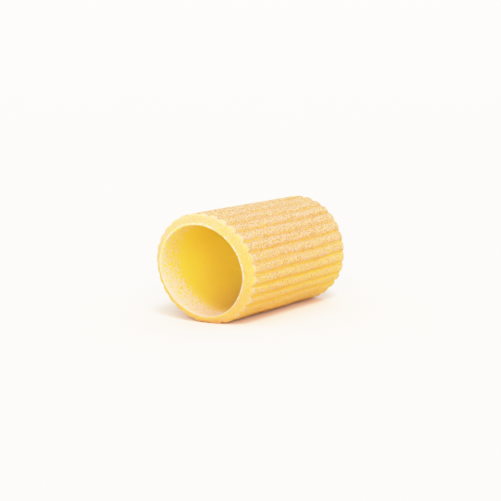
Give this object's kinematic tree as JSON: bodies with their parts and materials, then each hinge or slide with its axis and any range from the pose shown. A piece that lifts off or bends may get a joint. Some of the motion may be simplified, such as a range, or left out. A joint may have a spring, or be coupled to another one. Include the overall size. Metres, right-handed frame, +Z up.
{
  "type": "short ridged pasta tube",
  "caption": "Short wide dry pasta tube lying on its side, ridged along the outside, smooth open bore, slanted cut at one end.",
  "frame": {"origin": "centre of the bounding box's base, on the surface that the tube lies on", "axes": "+X along the bore towards the square-cut end, +Y across the tube, +Z up"},
  "size_m": [0.0264, 0.015, 0.0148],
  "materials": {
    "dough": "floury matt outside, smoother and a little translucent golden bore"
  },
  "bodies": {
    "root": {"ridged_tube": "dough"}
  },
  "joints": []
}
